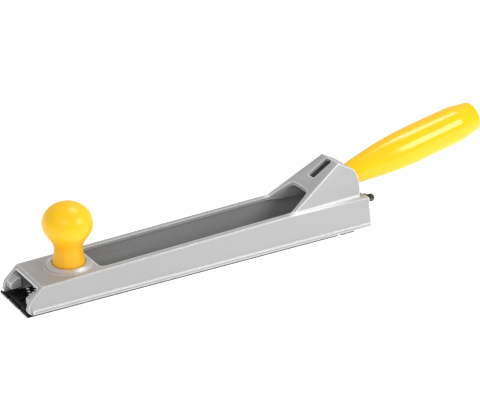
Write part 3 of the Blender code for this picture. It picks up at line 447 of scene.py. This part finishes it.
def cut(mesh, *tools):
    """The mesh with other meshes taken away."""
    piece = new_piece("being_cut", mesh)
    cutters = [new_piece("cutter", tool) for tool in tools]
    for cutter in cutters:
        modifier = piece.modifiers.new("cut", "BOOLEAN")
        modifier.operation, modifier.solver, modifier.object = "DIFFERENCE", "EXACT", cutter
    done = made_plain(piece)
    for cutter in cutters:
        bpy.data.objects.remove(cutter)
    return done


def moved(mesh, place):
    mesh.transform(place)
    return mesh


def refined(node, rounding, degrees=32, segments=3):
    """A copy of a CAD node with its flat areas made whole and its edges rounded."""
    shape = bmesh.new()
    shape.from_mesh(frame["nodes"][node].data)
    bmesh.ops.remove_doubles(shape, verts=shape.verts, dist=2e-6)
    straight = math.radians(0.3)
    bmesh.ops.dissolve_limit(shape, angle_limit=straight, verts=shape.verts, edges=shape.edges)
    piece = new_piece("being_rounded", to_mesh(node, shape))
    bevel = piece.modifiers.new("edges", "BEVEL")
    bevel.limit_method, bevel.angle_limit = "ANGLE", math.radians(degrees)
    bevel.width, bevel.segments = rounding, segments
    bevel.use_clamp_overlap = True
    return smooth(made_plain(piece))


def arc(middle, radius, start, end, steps):
    """Points of an arc, in degrees."""
    angles = [math.radians(start + (end - start) * i / steps) for i in range(steps + 1)]
    return [(middle[0] + radius * math.cos(a), middle[1] + radius * math.sin(a)) for a in angles]


def ease(start, end, steps):
    """A cubic between two (height, radius, slope) stations, without the first point."""
    (h0, r0, m0), (h1, r1, m1) = start, end
    span = h1 - h0
    found = []
    for i in range(1, steps + 1):
        u = i / steps
        a, b = 2 * u**3 - 3 * u**2 + 1, u**3 - 2 * u**2 + u
        c, d = 3 * u**2 - 2 * u**3, u**3 - u**2
        found.append((a * r0 + b * span * m0 + c * r1 + d * span * m1, h0 + span * u))
    return found


def upright(x, y, z):
    return Matrix.Translation((x, y, z))


def along_x(x, y, z):
    """Turns a lathe shape's axis to +X, from this point."""
    return Matrix.Translation((x, y, z)) @ Matrix.Rotation(math.pi / 2, 4, "Y")


def hand_over(name, mesh, material, body, *nodes):
    """Puts a finished piece in place of its CAD nodes."""
    mesh.materials.clear()
    mesh.materials.append(material)
    piece = new_piece(name, mesh)
    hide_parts(*nodes)
    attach(piece, body)
    return piece


# ---------------------------------------------------------------- trees for what repeats


class Grower:
    """A Geometry Nodes tree that ends in Realize Instances and Set Material."""

    def __init__(self, name, **inputs):
        self.tree = bpy.data.node_groups.new(name, "GeometryNodeTree")
        kinds = {int: "NodeSocketInt", float: "NodeSocketFloat", str: "NodeSocketObject"}
        self.sockets = {}
        for label, kind in inputs.items():
            made = self.tree.interface.new_socket(label, in_out="INPUT", socket_type=kinds[kind])
            self.sockets[label] = made.identifier
        made = self.tree.interface.new_socket("finish", in_out="INPUT", socket_type="NodeSocketMaterial")
        self.sockets["finish"] = made.identifier
        self.tree.interface.new_socket("mesh", in_out="OUTPUT", socket_type="NodeSocketGeometry")
        self.entry = self.tree.nodes.new("NodeGroupInput")

    def size(self, label):
        return next(s for s in self.entry.outputs if s.name == label)

    def node(self, kind, settings=None, values=None, output=0):
        made = self.tree.nodes.new(kind)
        for name, value in (settings or {}).items():
            setattr(made, name, value)
        for key, value in (values or {}).items():
            socket = made.inputs[key]
            if isinstance(value, bpy.types.NodeSocket):
                self.tree.links.new(value, socket)
            else:
                socket.default_value = value
        return made.outputs[output]

    def math(self, operation, *values):
        return self.node("ShaderNodeMath", {"operation": operation}, dict(enumerate(values)))

    def end(self, geometry):
        whole = self.node("GeometryNodeRealizeInstances", None, {0: geometry})
        values = {"Geometry": whole, "Material": self.size("finish")}
        finished = self.node("GeometryNodeSetMaterial", None, values)
        self.tree.links.new(finished, self.tree.nodes.new("NodeGroupOutput").inputs[0])

    def grow(self, **values):
        """The plain mesh that the tree makes from these sizes."""
        holder = new_piece("grown", bpy.data.meshes.new("grown"))
        modifier = holder.modifiers.new("grow", "NODES")
        modifier.node_group = self.tree
        for label, value in values.items():
            modifier[self.sockets[label]] = value
        return made_plain(holder)


def tooth_field():
    """Copies of one punched tooth in slanted rows."""
    field = Grower("tooth_field", tooth=str, along=int, across=int, pitch=float, row=float, slant=float)
    spans = [
        field.math("MULTIPLY", field.math("SUBTRACT", field.size(count), 1), field.size(step))
        for count, step in (("along", "pitch"), ("across", "row"))
    ]
    sizes = {"Size X": spans[0], "Size Y": spans[1]}
    counts = {"Vertices X": field.size("along"), "Vertices Y": field.size("across")}
    grid = field.node("GeometryNodeMeshGrid", None, {**sizes, **counts})
    y = field.node("ShaderNodeSeparateXYZ", None, {0: field.node("GeometryNodeInputPosition")}, "Y")
    shift = field.math("MULTIPLY", y, field.size("slant"))
    lean = field.node("ShaderNodeCombineXYZ", None, {"X": shift})
    leaning = field.node("GeometryNodeSetPosition", None, {"Geometry": grid, "Offset": lean})
    tooth = field.node("GeometryNodeObjectInfo", None, {"Object": field.size("tooth")}, "Geometry")
    values = {"Points": leaning, "Instance": tooth}
    field.end(field.node("GeometryNodeInstanceOnPoints", None, values))
    return field


def ridge_ring():
    """Straight ridges round a cylinder about Z."""
    ring = Grower("ridge_ring", count=int, radius=float, length=float, depth=float)
    values = {"Vertices": ring.size("count"), "Radius": ring.size("radius")}
    points = ring.node("GeometryNodeMeshCircle", None, values)
    sizes = {"Vertices": 4, "Radius": ring.size("depth"), "Depth": ring.size("length")}
    bar = ring.node("GeometryNodeMeshCylinder", None, sizes)
    index = ring.node("GeometryNodeInputIndex")
    turn = ring.math("DIVIDE", ring.math("MULTIPLY", index, 2 * math.pi), ring.size("count"))
    spin = ring.node("ShaderNodeCombineXYZ", None, {"Z": turn})
    rotation = ring.node("FunctionNodeEulerToRotation", None, {0: spin})
    values = {"Points": points, "Instance": bar, "Rotation": rotation}
    ring.end(ring.node("GeometryNodeInstanceOnPoints", None, values))
    return ring


def screw_thread():
    """A raised thread that climbs Z."""
    thread = Grower("screw_thread", length=float, radius=float, pitch=float, depth=float)
    turns = thread.math("DIVIDE", thread.size("length"), thread.size("pitch"))
    core = thread.math("SUBTRACT", thread.size("radius"), thread.size("depth"))
    values = {
        "Resolution": 28,
        "Rotations": turns,
        "Start Radius": core,
        "End Radius": core,
        "Height": thread.size("length"),
    }
    climb = thread.node("GeometryNodeCurveSpiral", None, values)
    climb = thread.node("GeometryNodeSetCurveNormal", {"mode": "Z_UP"}, {"Curve": climb})
    values = {"Resolution": 4, "Radius": thread.size("depth")}
    ridge = thread.node("GeometryNodeCurvePrimitiveCircle", None, values)
    values = {"Curve": climb, "Profile Curve": ridge, "Fill Caps": True}
    thread.end(thread.node("GeometryNodeCurveToMesh", None, values))
    return thread


TOOTH_FIELD, RIDGE_RING, SCREW_THREAD = tooth_field(), ridge_ring(), screw_thread()


def threaded(core_mesh, low, high, radius, thread, material):
    """A turned screw with its thread between two heights."""
    pitch, depth = thread
    sizes = {"length": high - low, "radius": radius, "pitch": pitch, "depth": depth}
    ridge = SCREW_THREAD.grow(**sizes, finish=material)
    return joined([core_mesh, moved(ridge, upright(0, 0, low))])


# ---------------------------------------------------------------- blade


def tooth(thickness):
    """One cell of the blade: a leaning piece of sheet with a hole whose rear lip is pressed down.

    The sheet's top is at Z 0.
    """
    count = 10
    shape = bmesh.new()
    levels = {}
    for label, growth in (("hole", 1.0), ("swell", 1.42)):
        for face, base in (("top", 0.0), ("bottom", -thickness)):
            ring = []
            for i in range(count):
                angle = 2 * math.pi * i / count
                x = HOLE_LENGTH / 2 * growth * math.cos(angle)
                y = HOLE_WIDTH / 2 * growth * math.sin(angle)
                pressed = max(0.0, math.cos(angle)) ** 0.7 * thickness * 0.98 if label == "hole" else 0.0
                ring.append(shape.verts.new((x + ROW_SLANT * y, y, base - pressed)))
            levels[label, face] = ring
    corners = [(-1, -1), (1, -1), (1, 1), (-1, 1)]
    for face, base in (("top", 0.0), ("bottom", -thickness)):
        outer = []
        for a, b in corners:
            y = b * ROW_PITCH / 2
            outer.append(shape.verts.new((a * TOOTH_PITCH / 2 + ROW_SLANT * y, y, base)))
        swell, hole = levels["swell", face], levels["hole", face]
        fill_between(shape, outer, swell)
        for i in range(count):
            j = (i + 1) % count
            shape.faces.new((swell[i], swell[j], hole[j], hole[i]))
    for i in range(count):
        j = (i + 1) % count
        top, bottom = levels["hole", "top"], levels["hole", "bottom"]
        shape.faces.new((top[i], top[j], bottom[j], bottom[i]))
    return to_mesh("tooth", shape)


def fill_between(shape, outer, inner):
    """Triangles between four corners and a ring inside them, both anticlockwise."""
    count = len(inner)

    def nearest(vert):
        return min(range(4), key=lambda k: (outer[k].co - vert.co).length)

    owners = [nearest(v) for v in inner]
    for i in range(count):
        j = (i + 1) % count
        shape.faces.new((outer[owners[i]], inner[j], inner[i]))
        if owners[i] != owners[j]:
            shape.faces.new((outer[owners[i]], outer[owners[j]], inner[j]))


def blade():
    low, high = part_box("blade")
    top = low.z + 2 * SHEET
    outline = [(low.x, SHEET), (low.x + SHEET, 0), (high.x, 0), (high.x, top)]
    outline += [(low.x + LIP, top), (low.x + LIP, high.z), (low.x, high.z)]
    shape = bmesh.new()
    sides = [[shape.verts.new((x, way * high.y, z)) for x, z in outline] for way in (-1, 1)]
    shape.faces.new(sides[0])
    shape.faces.new(sides[1][::-1])
    for i in range(len(outline)):
        j = (i + 1) % len(outline)
        shape.faces.new((sides[0][i], sides[0][j], sides[1][j], sides[1][i]))
    sheet = to_mesh("sheet", shape)

    middle = (low.x + high.x) / 2
    half_length, half_width = TEETH_ALONG * TOOTH_PITCH / 2, TEETH_ACROSS * ROW_PITCH / 2

    def corner(i, j):
        y = -half_width + j * ROW_PITCH
        return (middle - half_length + i * TOOTH_PITCH + ROW_SLANT * y, y)

    border = [corner(i, 0) for i in range(TEETH_ALONG)]
    border += [corner(TEETH_ALONG, j) for j in range(TEETH_ACROSS)]
    border += [corner(i, TEETH_ACROSS) for i in range(TEETH_ALONG, 0, -1)]
    border += [corner(0, j) for j in range(TEETH_ACROSS, 0, -1)]
    over = TEETH_OVER
    cuts = [box((low.x + 0.0025, low.y + HEM, -over), (high.x - HEM, high.y - HEM, top - SHEET))]
    cuts.append(prism(border, -over, top + over))
    notch = (-over, (NOTCH[0] + over, NOTCH[1]))
    for y in (-HOOK_SPACING / 2, HOOK_SPACING / 2):
        for start, (length, width) in (notch, (HOOK_SETBACK, FRONT_WINDOW)):
            window_low = (low.x + start, y - width / 2, -over)
            cuts.append(box(window_low, (low.x + start + length, y + width / 2, high.z + over)))
    rear = high.x - REAR_SETBACK
    length, width = REAR_WINDOW
    cuts.append(box((rear - length, -width / 2, -over), (rear, width / 2, top + over)))
    sheet = cut(sheet, *cuts)

    shape = bmesh.new()
    shape.from_mesh(sheet)
    walls = []
    for face in shape.faces:
        centre = face.calc_center_median()
        along = abs(centre.x - middle - ROW_SLANT * centre.y) - half_length
        across = abs(centre.y) - half_width
        if abs(face.normal.z) < 0.5 and max(along, across) < 1e-5:
            walls.append(face)
    bmesh.ops.delete(shape, geom=walls, context="FACES")
    sheet = to_mesh("sheet", shape, closed=False)

    cell = new_piece("tooth_cell", tooth(SHEET))
    counts = {"along": TEETH_ALONG, "across": TEETH_ACROSS}
    steps = {"pitch": TOOTH_PITCH, "row": ROW_PITCH, "slant": ROW_SLANT}
    field = TOOTH_FIELD.grow(tooth=cell, finish=BLADE_STEEL, **counts, **steps)
    bpy.data.objects.remove(cell)
    whole = joined([sheet, moved(field, upright(middle, 0, top))], 4e-6)
    hand_over("perforated_blade", smooth(whole, 30), BLADE_STEEL, "body", "blade")


# ---------------------------------------------------------------- knob and handle


def knob():
    low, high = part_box("front_knob")
    x = (low.x + high.x) / 2
    ball = arc((0, KNOB_BALL_RISE / KNOB_BALL_HALF_HEIGHT), 1, 90, KNOB_BALL_LOWEST, 40)
    points = [(r * KNOB_BALL_RADIUS, z * KNOB_BALL_HALF_HEIGHT) for r, z in ball]
    radius, height = points[-1]
    slope = math.tan(math.radians(-KNOB_BALL_LOWEST)) * KNOB_BALL_RADIUS / KNOB_BALL_HALF_HEIGHT
    neck = (*KNOB_NECK, 0.0)
    points += ease((height, radius, slope), neck, 22)
    rounding, base_radius = KNOB_BASE
    points += ease(neck, (rounding, base_radius, KNOB_BASE_SLOPE), 16)
    points += arc((base_radius - rounding, rounding), rounding, 0, -90, 5)[1:]
    bore, depth = KNOB_BORE
    points += [(bore, 0.0), (bore, depth), (0.0, depth)]
    mesh = moved(turned(points, FINE), upright(x, 0, low.z))
    hand_over("ball_knob", smooth(mesh), PLASTIC, "body", "front_knob")


def handle_place():
    """Puts a lathe shape's axis on the handle's, from its pivot."""
    pivot = Vector(JOINTS["handle_tilt"]["pos_m"])
    return Matrix.Translation(pivot) @ Matrix.Rotation(math.radians(90 - HANDLE_ANGLE), 4, "Y")


def handle():
    seat = SEAT_RADIUS + GAP
    end = seat + HANDLE_LENGTH
    start_radius, growth = HANDLE_SEAT
    inside = start_radius / 2
    start = (seat, start_radius, growth)
    full = (seat + HANDLE_SWELL, HANDLE_RADIUS, 0.0)
    loss_slope = -3 * BARREL_LOSS / (HANDLE_LENGTH - HANDLE_SWELL - END_TAPER)
    cone = (end - END_TAPER, HANDLE_RADIUS - BARREL_LOSS, loss_slope)
    points = [(0.0, seat - inside), (start_radius - growth * inside, seat - inside), start[1::-1]]
    points += ease(start, full, 36)
    points += ease(full, cone, 12)
    round_middle = (end - END_ROUND, END_RADIUS - END_ROUND)
    rim = [(radius, along) for along, radius in arc(round_middle, END_ROUND, 80, 8, 12)]
    crease = points[-1]
    for share in (0.03, 0.06, 0.5, 0.95):
        points.append(tuple(a + (b - a) * share for a, b in zip(crease, rim[0])))
    points += rim
    points.append((0.0, end + END_ROUND / 5))
    across = Matrix.Rotation(math.pi / 2, 4, "X")
    width = 2 * HANDLE_RADIUS
    saddle = moved(turned([(0, -width), (seat, -width), (seat, width), (0, width)], 256), across)
    bore, depth = HANDLE_BORE
    bore_low = seat - 0.004
    hole = turned([(0, bore_low), (bore, bore_low), (bore, seat + depth), (0, seat + depth)])
    mesh = moved(cut(turned(points, FINE), saddle, hole), handle_place())
    hand_over("tapered_handle", smooth(mesh, 30), PLASTIC, "handle", "rear_handle")


# ---------------------------------------------------------------- casting


def casting():
    mesh = refined("body_casting", CAST_EDGE)
    hand_over("painted_casting", mesh, PAINT, "body", "body_casting")


# ---------------------------------------------------------------- screws and small steel pieces


def headed_screw(name, node, place, head_radius, head_height, tip, body):
    """A slotted screw whose head hangs below a height on Z and whose shank rises to the tip."""
    thread_depth = BOLT_THREAD[1]
    core = BOLT_RADIUS - thread_depth
    dome = arc((0, 0), 1, -90, 0, 7)
    profile = [(r * head_radius, (z + 1) * head_height * 0.55) for r, z in dome]
    profile += [(head_radius, head_height - 0.0002), (head_radius - 0.0002, head_height)]
    profile += [(core, head_height), (core, tip - 0.0006), (core - 0.0006, tip), (0.0, tip)]
    slot_low = (-head_radius - 0.001, -SLOT_WIDTH / 2, -0.001)
    slot_high = (head_radius + 0.001, SLOT_WIDTH / 2, SLOT_DEPTH)
    mesh = cut(turned(profile), box(slot_low, slot_high))
    mesh = threaded(mesh, head_height + 0.001, tip - 0.001, BOLT_RADIUS, BOLT_THREAD, ZINC_STEEL)
    hand_over(name, smooth(moved(mesh, place)), ZINC_STEEL, body, node)


def screws():
    low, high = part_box("knob_screw")
    x = (low.x + high.x) / 2
    place = upright(x, 0, low.z)
    head_radius = (high.x - low.x) / 2
    head = (head_radius, KNOB_SCREW_HEAD_HEIGHT)
    headed_screw("slotted_knob_screw", "knob_screw", place, *head, high.z - low.z, "body")
    head_low = SEAT_RADIUS - WALL - sum(HANDLE_WASHERS) - 4 * GAP - HANDLE_BOLT_HEAD[1]
    tip = SEAT_RADIUS + GAP + BOLT_REACH - head_low
    place = handle_place() @ upright(0, 0, head_low)
    headed_screw("slotted_handle_bolt", "handle_bolt", place, *HANDLE_BOLT_HEAD, tip, "handle")
    for way in ("left", "right"):
        node = f"hook_plate_screw_{way}"
        low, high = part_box(node)
        radius, height = (high.x - low.x) / 2, high.z - low.z
        core, half_slot = HOOK_SCREW_CORE, HOOK_SCREW_SLOT
        profile = [(0, 0), (radius - 0.0001, 0), (radius, 0.0001), (core, 0.0005)]
        profile += [(core, height - 0.0004), (core - 0.0004, height), (0, height)]
        slot_low = (-radius - 0.001, -half_slot, -0.001)
        mesh = cut(turned(profile, 32), box(slot_low, (radius + 0.001, half_slot, half_slot)))
        ends = (0.0009, height - 0.0006)
        mesh = threaded(mesh, *ends, HOOK_SCREW_RADIUS, HOOK_SCREW_THREAD, ZINC_STEEL)
        place = upright((low.x + high.x) / 2, (low.y + high.y) / 2, low.z)
        hand_over(f"countersunk_screw_{way}", smooth(moved(mesh, place)), ZINC_STEEL, "body", node)


def tension_screw():
    """The threaded rod and its knurled head, on the axis of the tension screw."""
    place = along_x(*JOINTS["tension_screw_turn"]["pos_m"])
    low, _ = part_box("tension_rod")
    tip = low.x - place.translation.x
    groove = TENSION_RADIUS - 0.0005
    clip_low, clip_high = CLIP_GROOVE
    core = TENSION_RADIUS - TENSION_THREAD[1]
    thread_top = clip_low - 0.004
    neck_start, neck_end, neck_radius = THUMB_NECK
    head_end, head_radius = THUMB_END
    rod_top = head_end - SLOT_DEPTH - 4 * GAP
    profile = [(0, tip), (core - 0.0005, tip), (core, tip + 0.0005), (core, thread_top)]
    profile += [(TENSION_RADIUS, thread_top + 0.0003), (TENSION_RADIUS, clip_low), (groove, clip_low)]
    profile += [(groove, clip_high), (TENSION_RADIUS, clip_high), (TENSION_RADIUS, neck_end - GAP)]
    profile += [(ROD_TIP_RADIUS, neck_end - GAP), (ROD_TIP_RADIUS, rod_top), (0, rod_top)]
    ends = (tip + 0.0008, thread_top)
    rod = threaded(turned(profile), *ends, TENSION_RADIUS, TENSION_THREAD, ZINC_STEEL)
    rod = smooth(moved(rod, place))
    hand_over("threaded_tension_rod", rod, ZINC_STEEL, "tension_screw", "tension_rod")

    collar_end, collar_radius = THUMB_COLLAR
    base = head_radius - RIDGE_DEPTH
    bore = ROD_TIP_RADIUS + GAP
    inner = TENSION_RADIUS + GAP
    profile = [(inner, neck_start), (neck_radius, neck_start), (neck_radius, neck_end)]
    profile += [(collar_radius - 0.0002, neck_end), (collar_radius, neck_end + 0.0002)]
    profile += [(collar_radius, collar_end - 0.0003), (collar_radius - 0.0003, collar_end)]
    profile += [(base, collar_end), (base, head_end - 0.0006), (base - 0.0006, head_end), (0, head_end)]
    profile += [(0, rod_top + GAP), (bore, rod_top + GAP), (bore, neck_end), (inner, neck_end)]
    profile.append((inner, neck_start))
    slot_low = (-head_radius - 0.001, -SLOT_WIDTH / 2, head_end - SLOT_DEPTH)
    slot_high = (head_radius + 0.001, SLOT_WIDTH / 2, head_end + 0.001)
    length = head_end - collar_end - 0.0010
    sizes = {"radius": base, "length": length, "depth": RIDGE_DEPTH}
    ridges = RIDGE_RING.grow(count=RIDGES, **sizes, finish=DARK_STEEL)
    ridges = moved(ridges, upright(0, 0, collar_end + 0.0001 + length / 2))
    ridges = cut(ridges, box(slot_low, slot_high))
    head = joined([cut(turned(profile), box(slot_low, slot_high)), ridges])
    head = smooth(moved(head, place), 30)
    hand_over("knurled_head", head, DARK_STEEL, "tension_screw", "knurled_thumb_screw")


def small_pieces():
    """Pressed and turned steel whose shape in the frame is already the real one."""
    rows = [
        ("hooked_plate", "front_hook_plate", DARK_STEEL, "body", 0.00020),
        ("flat_knob_washer", "knob_washer", ZINC_STEEL, "body", 0.00015),
        ("split_knob_washer", "knob_lock_washer", ZINC_STEEL, "body", 0.00015),
        ("sliding_clamp", "blade_clamp", DARK_STEEL, "clamp", 0.00025),
        ("square_nut", "clamp_nut", ZINC_STEEL, "clamp", 0.00025),
        ("tail_washer", "tension_washer", ZINC_STEEL, "tension_screw", 0.00015),
        ("groove_clip", "retaining_clip", DARK_STEEL, "tension_screw", 0.00010),
        ("flat_handle_washer", "handle_washer", ZINC_STEEL, "handle", 0.00015),
        ("split_handle_washer", "handle_lock_washer", ZINC_STEEL, "handle", 0.00015),
        ("curved_saddle_washer", "saddle_washer", ZINC_STEEL, "handle", 0.00020),
        ("brass_knob_insert", "knob_insert", BRASS, "body", 0.00015),
        ("brass_handle_insert", "handle_insert", BRASS, "handle", 0.00015),
    ]
    for name, node, material, body, rounding in rows:
        hand_over(name, refined(node, rounding, segments=2), material, body, node)


# ---------------------------------------------------------------- floor, light and camera


def floor():
    shape = bmesh.new()
    bmesh.ops.create_grid(shape, x_segments=1, y_segments=1, size=5)
    bmesh.ops.translate(shape, verts=shape.verts, vec=(0, 0, -0.0002))
    sheet = Finish("pale_floor", {"Roughness": 0.9, "Emission Strength": 0.50})
    cloud = sheet.noise(3, 2)
    sheet.set(base_color=sheet.mix(cloud, grey(0.90), grey(0.93)), emission_color=grey(1.0))
    mesh = to_mesh("floor", shape, closed=False)
    mesh.materials.append(sheet.material)
    new_piece("floor", mesh)


def softbox(name, place, target, size, power):
    light = bpy.data.lights.new(name, "AREA")
    light.shape, light.size, light.size_y = "RECTANGLE", *size
    light.energy = power
    lamp = new_piece(name, light)
    lamp.location = place
    lamp.rotation_mode = "QUATERNION"
    lamp.rotation_quaternion = (Vector(target) - Vector(place)).to_track_quat("-Z", "Y")
    return lamp


def studio():
    world = bpy.data.worlds.new("studio")
    world.use_nodes = True
    background = world.node_tree.nodes["Background"]
    background.inputs["Color"].default_value = (1, 1, 1, 1)
    background.inputs["Strength"].default_value = 0.60
    bpy.context.scene.world = world
    softbox("key_softbox", (0.646, -0.915, 0.686), (0.16, 0, 0.04), (0.36, 0.54), 6.4)
    softbox("overhead_softbox", (0.5, 0.22, 1.2), (0.10, 0, 0.03), (0.5, 0.3), 4.5)
    softbox("front_softbox", (-0.75, -0.75, 0.9), (0.0, 0, 0.02), (0.7, 0.7), 3.2)


def camera():
    lens = bpy.data.cameras.new("camera")
    lens.lens, lens.sensor_width = 135, 36
    lens.clip_start, lens.clip_end = 0.05, 20
    seen = new_piece("camera", lens)
    right, up = Vector((0.8536, -0.5209, 0.0080)), Vector((0.2129, 0.3627, 0.9073))
    axes = Matrix((right, up, right.cross(up))).transposed()
    seen.rotation_mode = "QUATERNION"
    seen.rotation_quaternion = axes.to_quaternion()
    seen.location = (-0.5643, -1.0057, 0.5767)
    bpy.context.scene.camera = seen
    bpy.context.scene.view_settings.view_transform = "Standard"


casting()
blade()
knob()
handle()
screws()
tension_screw()
small_pieces()
floor()
studio()
camera()
